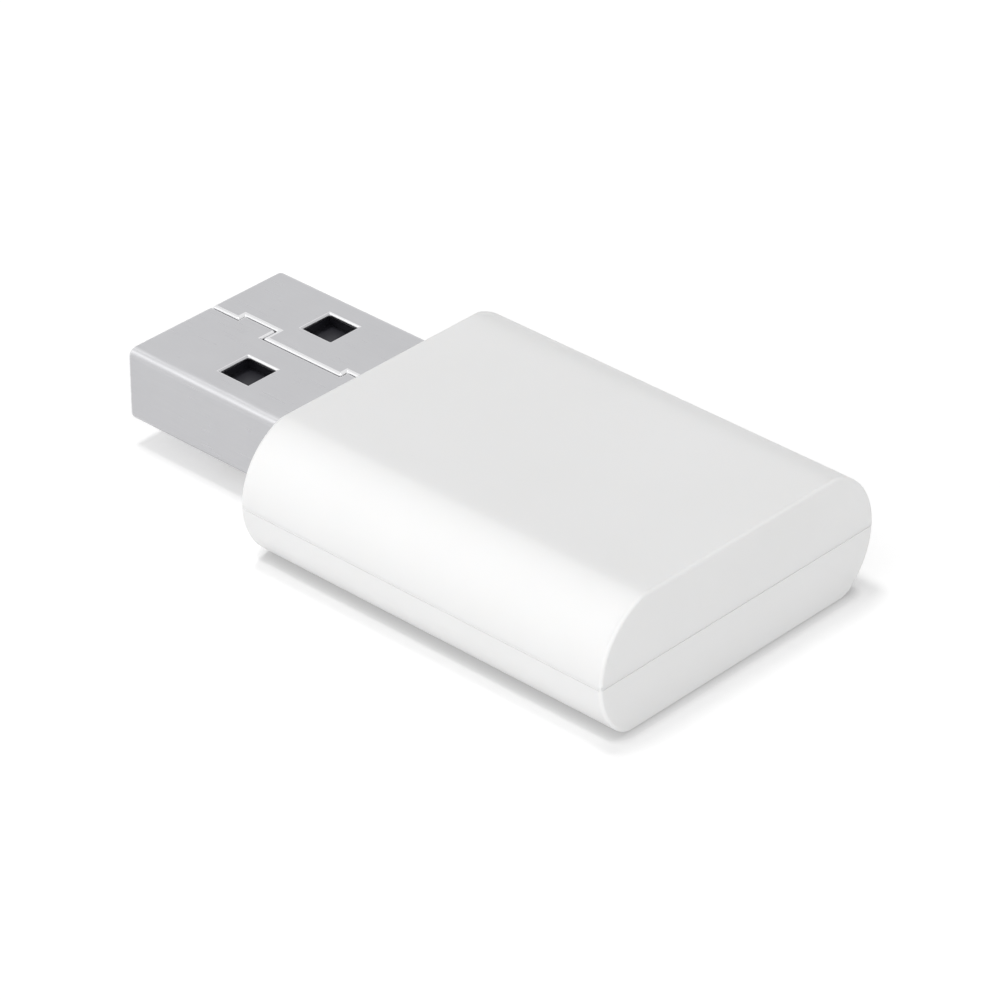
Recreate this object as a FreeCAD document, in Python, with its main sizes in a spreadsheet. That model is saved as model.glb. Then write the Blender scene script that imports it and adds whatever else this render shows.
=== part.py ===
import FreeCAD, Part
import math
import os
import re
import Sketcher

# USB signal repeater: a moulded two-part case with a standard type A plug on one end.
# Millimetres. X runs from the plug's free end to the far end of the case, Z is up, and the
# origin lies under the middle of the whole object, on the plane that it rests on.

# Driving dimensions. Every other size and place is worked out from these.
SIZES = {
    # case
    "case_length": 25.4,
    "case_width": 21.3,
    "upper_depth": 4.15,
    "lower_depth": 3.65,
    "upper_inset": 3.1,
    "lower_inset": 2.0,
    "upper_rounding": 1.2,
    "lower_rounding": 1.5,
    "end_rounding": 0.2,
    "parting_gap": 0.2,
    "parting_depth": 0.035,
    "wall": 1.3,
    "lip_thickness": 0.5,
    "lip_height": 0.8,
    "lip_clearance": 0.08,
    # snap beads on the lip
    "snap_length": 3.0,
    "snap_height": 0.3,
    "snap_reach": 0.2,
    "snap_from_end": 6.5,
    # supports that carry the board and the plug
    "boss_radius": 1.1,
    "peg_radius": 0.55,
    "peg_clearance": 0.1,
    "peg_rise": 1.0,
    "peg_edge": 1.2,
    "front_peg_setback": 2.2,
    "cradle_wall": 1.2,
    "clamp_clearance": 0.06,
    "rib_thickness": 0.8,
    # plug shell
    "plug_width": 12.0,
    "plug_height": 4.5,
    "plug_reach": 13.3,
    "plug_inset": 4.9,
    "plug_clearance": 0.05,
    "sheet": 0.3,
    "bend_radius": 0.55,
    "tip_rounding": 0.12,
    "window_length": 2.15,
    "window_width": 2.15,
    "window_from_tip": 6.4,
    "window_offset": 3.15,
    "seam_gap": 0.05,
    "seam_first_step": 2.1,
    "seam_second_step": 4.5,
    "seam_third_step": 10.45,
    "seam_start": 0.35,
    "seam_tab": 0.9,
    "seam_middle": 0.2,
    "seam_end": 0.35,
    "foot_length": 2.0,
    "foot_reach": 1.1,
    "foot_from_rear": 0.9,
    # plug insulator and contacts
    "insulator_clearance": 0.03,
    "mating_depth": 9.6,
    "tongue_setback": 0.7,
    "tongue_side": 0.3,
    "tongue_bevel": 0.3,
    "recess_margin": 0.15,
    "recess_depth": 0.5,
    "contact_level": 1.95,
    "contact_proud": 0.05,
    "contact_width": 1.0,
    "contact_thickness": 0.25,
    "contact_nose": 0.15,
    "contact_clearance": 0.02,
    "contact_setback": 0.9,
    "contact_stagger": 1.0,
    "outer_contact_offset": 3.5,
    "inner_contact_offset": 1.0,
    "tail_exit": 0.25,
    "tail_slope": 0.5,
    "tail_foot": 1.2,
    # main board
    "board_thickness": 1.0,
    "board_drop": 0.27,
    "board_clearance": 0.25,
    "notch_clearance": 0.1,
    "board_rounding": 0.5,
    # parts on the main board
    "first_row": 1.7,
    "row_pitch": 2.7,
    "chip_length": 2.0,
    "chip_width": 1.25,
    "chip_height": 0.9,
    "chip_cap": 0.4,
    "chip_step": 0.03,
    "power_side": 3.5,
    "input_side": 1.2,
    "output_side": 0.7,
    "light_side": 3.4,
    "lens_margin": 0.35,
    "lens_height": 0.45,
    "lens_draft": 6,
    "regulator_length": 2.9,
    "regulator_width": 1.6,
    "regulator_height": 1.1,
    "regulator_lift": 0.1,
    "lead_width": 0.4,
    "lead_thickness": 0.15,
    "lead_level": 0.5,
    "lead_reach": 0.6,
    "lead_shoulder": 0.2,
    "lead_pitch": 0.95,
    # radio module
    "module_gap": 0.2,
    "module_thickness": 0.8,
    "half_hole_radius": 0.35,
    "half_hole_pitch": 1.5,
    "half_hole_start": 1.6,
    "half_hole_count": 6,
    "antenna_depth": 3.0,
    "antenna_margin": 0.4,
    "antenna_line": 0.4,
    "antenna_thickness": 0.07,
    "antenna_turns": 4,
    "can_margin": 0.8,
    "can_room": 0.5,
    "can_sheet": 0.2,
    "can_rounding": 0.4,
    "vent_radius": 0.35,
    "vent_pitch": 1.8,
    "can_part_gap": 1.0,
    "radio_side": 3.0,
    "radio_height": 0.75,
    "dimple_radius": 0.25,
    "dimple_depth": 0.06,
    "crystal_length": 2.5,
    "crystal_width": 2.0,
    "crystal_base": 0.35,
    "crystal_lid": 0.25,
    "crystal_rim": 0.2,
}

# Sizes that follow from the driving ones. A formula may use any name above or in this table.
DERIVED = {
    "half_width": "case_width / 2",
    "split": "lower_depth",
    "case_height": "lower_depth + upper_depth",
    "ceiling": "case_height - wall",
    "upper_radius": "(upper_inset^2 + upper_depth^2) / (2 * upper_inset)",
    "lower_radius": "(lower_inset^2 + lower_depth^2) / (2 * lower_inset)",
    "ceiling_half": "half_width - upper_radius"
                    " + sqrt((upper_radius - wall)^2 - (upper_depth - wall)^2)",
    "floor_half": "half_width - lower_radius"
                  " + sqrt((lower_radius - wall)^2 - (lower_depth - wall)^2)",
    "case_front": "(plug_reach - case_length) / 2",
    "plug_half": "plug_width / 2",
    "plug_bottom": "split - plug_height / 2",
    "plug_top": "split + plug_height / 2",
    "plug_length": "plug_reach + plug_inset",
    "inner_bend": "bend_radius - sheet",
    "board_top": "split - board_drop",
    "board_bottom": "board_top - board_thickness",
    "board_half": "half_width - lower_radius - board_clearance"
                  " + sqrt((lower_radius - wall)^2 - (split - board_bottom)^2)",
    "board_front": "wall + board_clearance",
    "board_back": "case_length - wall - board_clearance",
    "notch_depth": "plug_inset + notch_clearance",
    "notch_half": "plug_half + notch_clearance",
    "peg_side": "board_half - peg_edge",
    "front_peg": "plug_inset + front_peg_setback",
    "rear_peg": "board_back - peg_edge",
    "peg_hole": "peg_radius + peg_clearance",
    "foot_start": "plug_inset - foot_from_rear - foot_length",
    "contact_bottom": "plug_top - contact_level",
    "tail_drop": "contact_bottom - board_top",
    "tail_turn": "contact_thickness * (sqrt(tail_drop^2 + tail_slope^2) - tail_slope) / tail_drop",
    "tail_end": "plug_inset + tail_exit + tail_slope + tail_foot",
    "tongue_front": "tongue_setback - plug_reach",
    "front_row": "tail_end + first_row",
    "rear_row": "front_row + row_pitch",
    "lead_span": "regulator_width / 2 + lead_reach",
    "module_front": "rear_row + lead_span + module_gap",
    "module_length": "board_back - module_front",
    "module_half": "peg_side - boss_radius - module_gap",
    "module_top": "board_top + module_thickness",
    "can_front": "module_front + can_margin",
    "can_back": "board_back - antenna_depth - can_margin",
    "can_half": "module_half - can_margin",
    "can_middle": "(can_front + can_back) / 2",
    "can_height": "ceiling - can_room - module_top",
    "radio_place": "radio_side / 2 + can_part_gap + can_sheet - can_half",
    "crystal_place": "can_half - can_sheet - can_part_gap - crystal_width / 2",
}

doc = FreeCAD.newDocument("signal_repeater")
sheet = doc.addObject("Spreadsheet::Sheet", "Sizes")
for row, (alias, number) in enumerate(SIZES.items(), start=1):
    sheet.set("A%d" % row, alias)
    sheet.set("B%d" % row, str(number))
    sheet.setAlias("B%d" % row, alias)
doc.recompute()


def formula(text):
    """Turn a formula in plain size names into one that reads the sheet."""
    def spell(match):
        word = match.group()
        if word in DERIVED:
            return "(" + formula(DERIVED[word]) + ")"
        if word in SIZES:
            return "Sizes." + word
        return word
    return re.sub(r"[a-z_]+", spell, text)


def value(text):
    return float(sheet.evalExpression(formula(text)))


# How sketches and features are made

def new_body(label, across="case_front", side="0", up="0"):
    """A body whose own origin lies at the given place of the object."""
    body = doc.addObject("PartDesign::Body", label)
    body.Label = label
    body.setExpression("Placement.Base.x", formula(across))
    body.setExpression("Placement.Base.y", formula(side))
    body.setExpression("Placement.Base.z", formula(up))
    return body


def new_sketch(body, name, plane, offset):
    """An empty sketch on one of the body's origin planes, moved along that plane's normal."""
    sketch = body.newObject("Sketcher::SketchObject", name)
    support = [item for item in body.Origin.OriginFeatures if item.Role == plane]
    sketch.AttachmentSupport = [(support[0], "")]
    sketch.MapMode = "FlatFace"
    sketch.setExpression(".AttachmentOffset.Base.z", formula(offset))
    return sketch


def pin_point(sketch, curve, point, corner):
    """Hold one end of a curve at the place that a pair of formulas gives."""
    for kind, text in zip(("DistanceX", "DistanceY"), corner):
        held = sketch.addConstraint(Sketcher.Constraint(kind, -1, 1, curve, point, value(text)))
        sketch.setExpression("Constraints[%d]" % held, formula(text))


def arc_between(start, end, radius):
    """The short arc from start to end that turns left, or right for a negative radius."""
    chord = end - start
    left = FreeCAD.Vector(-chord.y, chord.x, 0).normalize()
    rise = math.sqrt(max(radius ** 2 - (chord.Length / 2) ** 2, 0))
    centre = start + chord * 0.5 + left * math.copysign(rise, radius)
    first, last = (start, end) if radius > 0 else (end, start)
    angles = [math.atan2(spot.y - centre.y, spot.x - centre.x) for spot in (first, last)]
    circle = Part.Circle(centre, FreeCAD.Vector(0, 0, 1), abs(radius))
    return Part.ArcOfCircle(circle, angles[0], angles[1])


def draw_outline(sketch, corners):
    """Close a ring of corners, each held by formulas.

    A corner with a third entry starts an arc of that radius, positive where it turns left."""
    spots = [FreeCAD.Vector(value(corner[0]), value(corner[1]), 0) for corner in corners]
    ends = []
    for place, corner in enumerate(corners):
        start = spots[place]
        end = spots[(place + 1) % len(corners)]
        if len(corner) == 3:
            radius = value(corner[2])
            curve = sketch.addGeometry(arc_between(start, end, radius))
            ends.append((curve, 1, 2) if radius > 0 else (curve, 2, 1))
            size = sketch.addConstraint(Sketcher.Constraint("Radius", curve, abs(radius)))
            sketch.setExpression("Constraints[%d]" % size, formula("abs(%s)" % corner[2]))
        else:
            curve = sketch.addGeometry(Part.LineSegment(start, end))
            ends.append((curve, 1, 2))
    for place, (curve, first, last) in enumerate(ends):
        following = ends[(place + 1) % len(ends)]
        sketch.addConstraint(Sketcher.Constraint("Coincident", curve, last, following[0], following[1]))
        pin_point(sketch, curve, first, corners[place][:2])


def outline(body, name, plane, rings, offset="0"):
    sketch = new_sketch(body, name, plane, offset)
    for corners in rings:
        draw_outline(sketch, corners)
    return sketch


def circles(body, name, plane, centres, radius, offset="0"):
    sketch = new_sketch(body, name, plane, offset)
    for centre in centres:
        middle = FreeCAD.Vector(value(centre[0]), value(centre[1]), 0)
        curve = sketch.addGeometry(Part.Circle(middle, FreeCAD.Vector(0, 0, 1), value(radius)))
        pin_point(sketch, curve, 3, centre)
        size = sketch.addConstraint(Sketcher.Constraint("Radius", curve, value(radius)))
        sketch.setExpression("Constraints[%d]" % size, formula(radius))
    return sketch


def swept(body, kind, name, sketch, length, back=False, both=False):
    """A pad or pocket of the given length; back turns it round, both centres it."""
    before = volume_of(body)
    feature = body.newObject("PartDesign::" + kind, name)
    feature.Profile = sketch
    feature.Reversed = back
    if both:
        feature.SideType = "Symmetric"
    feature.setExpression("Length", formula(length))
    doc.recompute()
    grew = volume_of(body) - before
    if (kind == "Pad") != (grew > 0):
        raise RuntimeError("%s of %s changed nothing" % (name, body.Label))
    return feature


def volume_of(body):
    return 0.0 if body.Tip is None or body.Tip.Shape.isNull() else body.Tip.Shape.Volume


def pad(body, name, sketch, length, back=False, both=False):
    return swept(body, "Pad", name, sketch, length, back, both)


def pocket(body, name, sketch, length, back=False, both=False):
    return swept(body, "Pocket", name, sketch, length, back, both)


def lies_in(edge, axis, level):
    """Whether the whole edge lies in the plane where the given axis has this level."""
    box = edge.BoundBox
    low = getattr(box, axis + "Min")
    high = getattr(box, axis + "Max")
    return abs(low - level) < 1e-4 and abs(high - level) < 1e-4


def runs_along(edge, axis):
    box = edge.BoundBox
    others = [getattr(box, letter + "Length") for letter in "XYZ" if letter != axis]
    return max(others) < 1e-4 and getattr(box, axis + "Length") > 1e-4


def dressed(body, kind, name, size, chosen):
    """A fillet or chamfer on the edges that the test picks."""
    doc.recompute()
    base = body.Tip
    names = ["Edge%d" % (place + 1) for place, edge in enumerate(base.Shape.Edges) if chosen(edge)]
    feature = body.newObject("PartDesign::" + kind, name)
    feature.Base = (base, names)
    feature.setExpression("Radius" if kind == "Fillet" else "Size", formula(size))
    doc.recompute()
    return feature


def fillet(body, name, radius, chosen):
    return dressed(body, "Fillet", name, radius, chosen)


def chamfer(body, name, size, chosen):
    return dressed(body, "Chamfer", name, size, chosen)


def rectangle(left, right, low, high):
    return [(left, low), (right, low), (right, high), (left, high)]


def rounded_rectangle(half, low, high, radius):
    """A rectangle centred on the first axis whose corners are quarter rounds."""
    side = "%s - %s" % (half, radius)
    return [
        ("-(%s)" % side, low),
        (side, low, radius),
        (half, "%s + %s" % (low, radius)),
        (half, "%s - %s" % (high, radius), radius),
        (side, high),
        ("-(%s)" % side, high, radius),
        ("-(%s)" % half, "%s - %s" % (high, radius)),
        ("-(%s)" % half, "%s + %s" % (low, radius), radius),
    ]


# Case: two moulded halves that meet at the parting plane

def upper_section(half, top, top_half, radius):
    """Section of the upper half: bowed sides rise from the parting plane to a flat top."""
    return [(half, "split", radius), (top_half, top), ("-(%s)" % top_half, top, radius), ("-(%s)" % half, "split")]


def lower_section(half, low, low_half, radius):
    return [("-(%s)" % half, "split", radius), ("-(%s)" % low_half, low), (low_half, low, radius), (half, "split")]


def case_half(label, section, flat_level, rounding, upward):
    """The outer form of one half, with its rounded edges and half of the parting groove."""
    body = new_body(label)
    pad(body, "OuterForm", outline(body, "OuterSection", "YZ_Plane", [section]), "case_length")
    flat = value(flat_level)
    fillet(body, "LongEdges", rounding, lambda edge: runs_along(edge, "X") and lies_in(edge, "Z", flat))
    ends = (0.0, value("case_length"))
    split = value("split")
    fillet(body, "EndEdges", "end_rounding",
           lambda edge: any(lies_in(edge, "X", end) for end in ends) and not lies_in(edge, "Z", split))
    # The fine shadow line between the halves: each half stands back by half the gap.
    rims = [rectangle("-(%s)" % reach, "case_length + %s" % reach,
                      "-(half_width + %s)" % reach, "half_width + %s" % reach)
            for reach in ("parting_depth", "-(parting_depth)")]
    pocket(body, "PartingGroove", outline(body, "GrooveRims", "XY_Plane", rims, "split"), "parting_gap / 2",
           back=upward)
    return body


def plug_channel(body):
    """The opening that the plug shell passes through, with its running clearance."""
    section = rounded_rectangle("(plug_half + plug_clearance)", "(plug_bottom - plug_clearance)",
                                "(plug_top + plug_clearance)", "(bend_radius + plug_clearance)")
    sketch = outline(body, "PlugSection", "YZ_Plane", [section])
    pocket(body, "PlugChannel", sketch, "plug_inset + plug_clearance", back=True)


def peg_places():
    return [(across, side) for across in ("front_peg", "rear_peg") for side in ("peg_side", "-peg_side")]


def snap_places():
    return [("snap_from_end - snap_length / 2", "snap_from_end + snap_length / 2"),
            ("case_length - snap_from_end - snap_length / 2",
             "case_length - snap_from_end + snap_length / 2")]


def snap_section(side, root, reach, half_height):
    """A wedge on the lip's outer face, seen along the case."""
    level = "split - lip_height / 2"
    foot = "%s(%s)" % (side, root)
    tip = "%s(%s + %s)" % (side, root, reach)
    return [(foot, "%s - %s" % (level, half_height)), (tip, level), (foot, "%s + %s" % (level, half_height))]


def make_bottom_cover():
    section = lower_section("half_width", "0", "half_width - lower_inset", "lower_radius")
    body = case_half("bottom_cover", section, "0", "lower_rounding", upward=False)
    hollow = lower_section("half_width - wall", "wall", "floor_half", "lower_radius - wall")
    sketch = outline(body, "CavitySection", "YZ_Plane", [hollow], "wall")
    pocket(body, "Cavity", sketch, "case_length - 2 * wall", back=True)
    # The rebate that takes the other half's lip.
    grip = "(lip_thickness + lip_clearance)"
    rim = rectangle("wall - " + grip, "case_length - wall + " + grip,
                    "-(half_width - wall + %s)" % grip, "half_width - wall + " + grip)
    pocket(body, "Rebate", outline(body, "RebateRim", "XY_Plane", [rim], "split"),
           "lip_height + lip_clearance")
    # The cradle under the plug shell, which also carries the fork of the board.
    cradle = rectangle("wall / 2", "plug_inset", "-(plug_half + cradle_wall)", "plug_half + cradle_wall")
    pad(body, "PlugCradle", outline(body, "CradleRim", "XY_Plane", [cradle], "wall / 2"),
        "board_bottom - wall / 2")
    plug_channel(body)
    # Stepped pegs: the shoulder carries the board and the tip passes through it.
    pad(body, "Bosses", circles(body, "BossCentres", "XY_Plane", peg_places(), "boss_radius", "wall / 2"),
        "board_bottom - wall / 2")
    pad(body, "Pegs", circles(body, "PegCentres", "XY_Plane", peg_places(), "peg_radius", "wall / 2"),
        "board_top + peg_rise - wall / 2")
    rib = rectangle("module_front - rib_thickness / 2", "module_front + rib_thickness / 2",
                    "-module_half", "module_half")
    pad(body, "BoardRib", outline(body, "RibRim", "XY_Plane", [rib], "wall / 2"),
        "board_bottom - wall / 2")
    # Notches that the snap beads spring into.
    root = "(half_width - wall + lip_thickness)"
    for place, (start, end) in enumerate(snap_places(), start=1):
        sections = [snap_section(side, root, "(snap_reach + lip_clearance)",
                                 "(snap_height / 2 + lip_clearance)") for side in ("", "-")]
        sketch = outline(body, "SnapNotchSection%d" % place, "YZ_Plane", sections,
                         "%s - lip_clearance" % start)
        pocket(body, "SnapNotch%d" % place, sketch, "snap_length + 2 * lip_clearance", back=True)
    return body


def make_top_cover():
    section = upper_section("half_width", "case_height", "half_width - upper_inset", "upper_radius")
    body = case_half("top_cover", section, "case_height", "upper_rounding", upward=True)
    hollow = upper_section("half_width - wall", "ceiling", "ceiling_half", "upper_radius - wall")
    sketch = outline(body, "CavitySection", "YZ_Plane", [hollow], "wall")
    pocket(body, "Cavity", sketch, "case_length - 2 * wall", back=True)
    # The lip that drops inside the bottom half's rebate.
    inner = rectangle("wall", "case_length - wall", "-(half_width - wall)", "half_width - wall")
    outer = rectangle("wall - lip_thickness", "case_length - wall + lip_thickness",
                      "-(half_width - wall + lip_thickness)", "half_width - wall + lip_thickness")
    pad(body, "Lip", outline(body, "LipRim", "XY_Plane", [outer, inner], "split"), "lip_height", back=True)
    # The block that presses the plug shell and its solder feet down on the board.
    block = rectangle("wall / 2", "plug_inset", "-(plug_half + cradle_wall)", "plug_half + cradle_wall")
    pad(body, "PlugClamp", outline(body, "ClampRim", "XY_Plane", [block],
                                   "board_top + sheet + clamp_clearance"),
        "ceiling + wall / 2 - board_top - sheet - clamp_clearance")
    plug_channel(body)
    # Hollow posts that take the peg tips and hold the board down.
    pad(body, "Posts", circles(body, "PostCentres", "XY_Plane", peg_places(), "boss_radius",
                               "board_top + clamp_clearance"),
        "ceiling - board_top - clamp_clearance")
    pocket(body, "PostSockets", circles(body, "SocketCentres", "XY_Plane", peg_places(), "peg_hole",
                                        "board_top + clamp_clearance"),
           "peg_rise + peg_clearance", back=True)
    root = "(half_width - wall + lip_thickness)"
    for place, (start, end) in enumerate(snap_places(), start=1):
        sections = [snap_section(side, root, "snap_reach", "(snap_height / 2)") for side in ("", "-")]
        sketch = outline(body, "SnapBeadSection%d" % place, "YZ_Plane", sections, start)
        pad(body, "SnapBead%d" % place, sketch, "snap_length")
    return body


# Plug: folded shell, insulator and four contacts

def seam_corners():
    """The slot left where the two edges of the folded strip meet, stepped so that they lock."""
    ends = ["0", "seam_first_step", "seam_second_step", "seam_third_step", "plug_length"]
    levels = ["seam_start", "seam_tab", "-seam_middle", "seam_end"]
    sides = []
    for edge in ("-", "+"):
        line = [(ends[0], levels[0])]
        for step, before, after in zip(ends[1:-1], levels, levels[1:]):
            rising = value(after) > value(before)
            shift = "-" if rising == (edge == "+") else "+"
            place = "%s %s seam_gap / 2" % (step, shift)
            line += [(place, before), (place, after)]
        line.append((ends[-1], levels[-1]))
        sides.append([("%s - plug_reach" % place, "%s %s seam_gap / 2" % (level, edge)) for place, level in line])
    return sides[0] + sides[1][::-1]


def window_squares(margin):
    middle = "window_from_tip - plug_reach"
    half = "(window_length / 2 + %s)" % margin
    return [rectangle("%s - %s" % (middle, half), "%s + %s" % (middle, half),
                      "%swindow_offset - window_width / 2 - %s" % (side, margin),
                      "%swindow_offset + window_width / 2 + %s" % (side, margin)) for side in ("", "-")]


def make_plug_shell():
    body = new_body("plug_shell")
    outer = rounded_rectangle("plug_half", "plug_bottom", "plug_top", "bend_radius")
    inner = rounded_rectangle("(plug_half - sheet)", "(plug_bottom + sheet)", "(plug_top - sheet)", "inner_bend")
    sketch = outline(body, "ShellSection", "YZ_Plane", [outer, inner], "-plug_reach")
    pad(body, "FoldedShell", sketch, "plug_length")
    tip = -value("plug_reach")
    top, bottom, side = value("plug_top"), value("plug_bottom"), value("plug_half")

    def on_outer_rim(edge):
        box = edge.BoundBox
        reaches = max(box.YMax - side, -side - box.YMin, box.ZMax - top, bottom - box.ZMin)
        return lies_in(edge, "X", tip) and reaches > -1e-4

    fillet(body, "TipRounding", "tip_rounding", on_outer_rim)
    # The sockets' springs drop into these windows, which go through both broad walls.
    sketch = outline(body, "WindowSquares", "XY_Plane", window_squares("0"), "split")
    pocket(body, "Windows", sketch, "plug_height + sheet", both=True)
    sketch = outline(body, "SeamSlot", "XY_Plane", [seam_corners()], "plug_top + sheet")
    pocket(body, "Seam", sketch, "sheet + plug_height / 2")
    # Solder feet lanced out of the side walls, each below the window that it leaves.
    foot_end = "foot_start + foot_length"
    window = rectangle("foot_start", foot_end, "board_top", "board_top + sheet + foot_reach")
    pocket(body, "FootWindows", outline(body, "FootWindow", "XZ_Plane", [window]),
           "plug_width + foot_reach", both=True)
    feet = [rectangle("foot_start", foot_end, "plug_half - sheet", "plug_half + foot_reach"),
            rectangle("foot_start", foot_end, "-(plug_half + foot_reach)", "-(plug_half - sheet)")]
    pad(body, "Feet", outline(body, "FootRims", "XY_Plane", feet, "board_top"), "sheet")
    return body


def contact_sections(offset):
    gap = "contact_clearance"
    return [rectangle("%s%s - contact_width / 2 - %s" % (side, offset, gap),
                      "%s%s + contact_width / 2 + %s" % (side, offset, gap),
                      "contact_bottom - %s" % gap, "contact_bottom + contact_thickness + %s" % gap)
            for side in ("", "-")]


def make_plug_insulator():
    body = new_body("plug_insulator")
    gap = "insulator_clearance"
    block = rounded_rectangle("(plug_half - sheet - %s)" % gap, "(plug_bottom + sheet + %s)" % gap,
                              "(plug_top - sheet - %s)" % gap, "inner_bend")
    sketch = outline(body, "BlockSection", "YZ_Plane", [block], "mating_depth - plug_reach")
    pad(body, "Block", sketch, "plug_length - mating_depth")
    # The tongue lies against the seam wall and carries the contacts on its free face.
    tongue = rectangle("-(plug_half - sheet - tongue_side)", "plug_half - sheet - tongue_side",
                       "contact_bottom + contact_proud", "plug_top - sheet - " + gap)
    sketch = outline(body, "TongueSection", "YZ_Plane", [tongue], "tongue_front")
    pad(body, "Tongue", sketch, "mating_depth - tongue_setback")
    front = value("tongue_front")
    free_face = value("contact_bottom + contact_proud")
    chamfer(body, "TongueBevel", "tongue_bevel", lambda edge: lies_in(edge, "X", front)
            and lies_in(edge, "Z", free_face))
    sketch = outline(body, "RecessSquares", "XY_Plane", window_squares("recess_margin"), "plug_top - sheet - " + gap)
    pocket(body, "SpringRecesses", sketch, "recess_depth")
    for name, offset, setback in (("Outer", "outer_contact_offset", "contact_setback"),
                                  ("Inner", "inner_contact_offset", "contact_setback + contact_stagger")):
        start = "tongue_front + %s" % setback
        sketch = outline(body, name + "GrooveSections", "YZ_Plane", contact_sections(offset),
                         "%s - contact_clearance" % start)
        pocket(body, name + "Grooves", sketch, "plug_inset - (%s) + 2 * contact_clearance" % start, back=True)
    return body


def make_contact(label, side, setback):
    """A flat strip whose tail steps down to the board behind the plug."""
    body = new_body(label, side=side)
    start = "tongue_front + %s" % setback
    slope_start = "plug_inset + tail_exit"
    slope_end = "plug_inset + tail_exit + tail_slope"
    strip = [
        (start, "contact_bottom"),
        (slope_start, "contact_bottom"),
        (slope_end, "board_top"),
        ("tail_end", "board_top"),
        ("tail_end", "board_top + contact_thickness"),
        (slope_end + " + tail_turn", "board_top + contact_thickness"),
        (slope_start + " + tail_turn", "contact_bottom + contact_thickness"),
        (start, "contact_bottom + contact_thickness"),
    ]
    pad(body, "Strip", outline(body, "StripProfile", "XZ_Plane", [strip]), "contact_width", both=True)
    nose = value(start)
    low = value("contact_bottom")
    fillet(body, "Nose", "contact_nose", lambda edge: lies_in(edge, "X", nose)
           and lies_in(edge, "Z", low))
    return body


# Main board and what it carries

def make_main_board():
    body = new_body("main_board")
    rim = [
        ("board_front", "-board_half"),
        ("board_back", "-board_half"),
        ("board_back", "board_half"),
        ("board_front", "board_half"),
        ("board_front", "notch_half"),
        ("notch_depth", "notch_half"),
        ("notch_depth", "-notch_half"),
        ("board_front", "-notch_half"),
    ]
    pad(body, "Plate", outline(body, "PlateRim", "XY_Plane", [rim], "board_bottom"), "board_thickness")
    side = value("board_half")
    fillet(body, "Corners", "board_rounding",
           lambda edge: runs_along(edge, "Z") and abs(abs(edge.CenterOfMass.y) - side) < 1e-4)
    sketch = circles(body, "PegHoleCentres", "XY_Plane", peg_places(), "peg_hole", "board_top")
    pocket(body, "PegHoles", sketch, "board_thickness")
    return body


def make_chip(label, across, side):
    """A ceramic chip: two metal caps with a slightly slimmer block between them."""
    body = new_body(label, "case_front + " + across, side, "board_top")
    core = rectangle("-(chip_length / 2)", "chip_length / 2", "-(chip_width / 2 - chip_step)",
                     "chip_width / 2 - chip_step")
    pad(body, "Core", outline(body, "CoreRim", "XY_Plane", [core], "chip_step"),
        "chip_height - 2 * chip_step")
    caps = [rectangle("-(chip_length / 2)", "chip_cap - chip_length / 2", "-(chip_width / 2)", "chip_width / 2"),
            rectangle("chip_length / 2 - chip_cap", "chip_length / 2", "-(chip_width / 2)", "chip_width / 2")]
    pad(body, "Caps", outline(body, "CapRims", "XY_Plane", caps), "chip_height")
    return body


def make_status_led():
    body = new_body("status_led", "case_front + front_row", "-light_side", "board_top")
    base = rectangle("-(chip_length / 2)", "chip_length / 2", "-(chip_width / 2)", "chip_width / 2")
    pad(body, "Base", outline(body, "BaseRim", "XY_Plane", [base]), "chip_height / 2")
    lens = rectangle("lens_margin - chip_length / 2", "chip_length / 2 - lens_margin",
                     "-(chip_width / 2)", "chip_width / 2")
    feature = pad(body, "Lens", outline(body, "LensRim", "XY_Plane", [lens], "chip_height / 2"), "lens_height")
    feature.setExpression("TaperAngle", formula("-lens_draft"))
    return body


def make_regulator_body():
    body = new_body("regulator_body", "case_front + rear_row", "power_side", "board_top")
    block = rectangle("-(regulator_width / 2)", "regulator_width / 2",
                      "-(regulator_length / 2)", "regulator_length / 2")
    pad(body, "Block", outline(body, "BlockRim", "XY_Plane", [block], "regulator_lift"),
        "regulator_height - regulator_lift")
    top = value("regulator_height")
    chamfer(body, "TopBevel", "regulator_lift", lambda edge: lies_in(edge, "Z", top))
    return body


def make_regulator_lead(label, turn, side):
    """A lead that leaves the block's side and steps down to a foot on the board."""
    body = new_body(label, "case_front + rear_row", "power_side + " + side, "board_top")
    root = "%sregulator_width / 2" % turn
    knee = "%s(regulator_width / 2 + lead_shoulder)" % turn
    outer_knee = "%s(regulator_width / 2 + lead_shoulder + lead_thickness)" % turn
    tip = "%slead_span" % turn
    lead = [
        (root, "lead_level"),
        (knee, "lead_level"),
        (knee, "0"),
        (tip, "0"),
        (tip, "lead_thickness"),
        (outer_knee, "lead_thickness"),
        (outer_knee, "lead_level + lead_thickness"),
        (root, "lead_level + lead_thickness"),
    ]
    pad(body, "Lead", outline(body, "LeadProfile", "XZ_Plane", [lead]), "lead_width", both=True)
    return body


# Radio module

def make_module_board():
    body = new_body("module_board")
    plate = rectangle("module_front", "board_back", "-module_half", "module_half")
    pad(body, "Plate", outline(body, "PlateRim", "XY_Plane", [plate], "board_top"), "module_thickness")
    # Plated half holes along both sides, where the module is soldered to the main board.
    places = [("module_front + half_hole_start", side) for side in ("module_half", "-module_half")]
    sketch = circles(body, "HalfHoleCentres", "XY_Plane", places, "half_hole_radius", "module_top")
    holes = pocket(body, "HalfHoles", sketch, "module_thickness")
    row = body.newObject("PartDesign::LinearPattern", "HalfHoleRow")
    row.Originals = [holes]
    row.Direction = (sketch, ["H_Axis"])
    row.Mode = "Spacing"
    row.setExpression("Offset", formula("half_hole_pitch"))
    row.setExpression("Occurrences", formula("half_hole_count"))
    body.Tip = row
    return body


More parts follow.
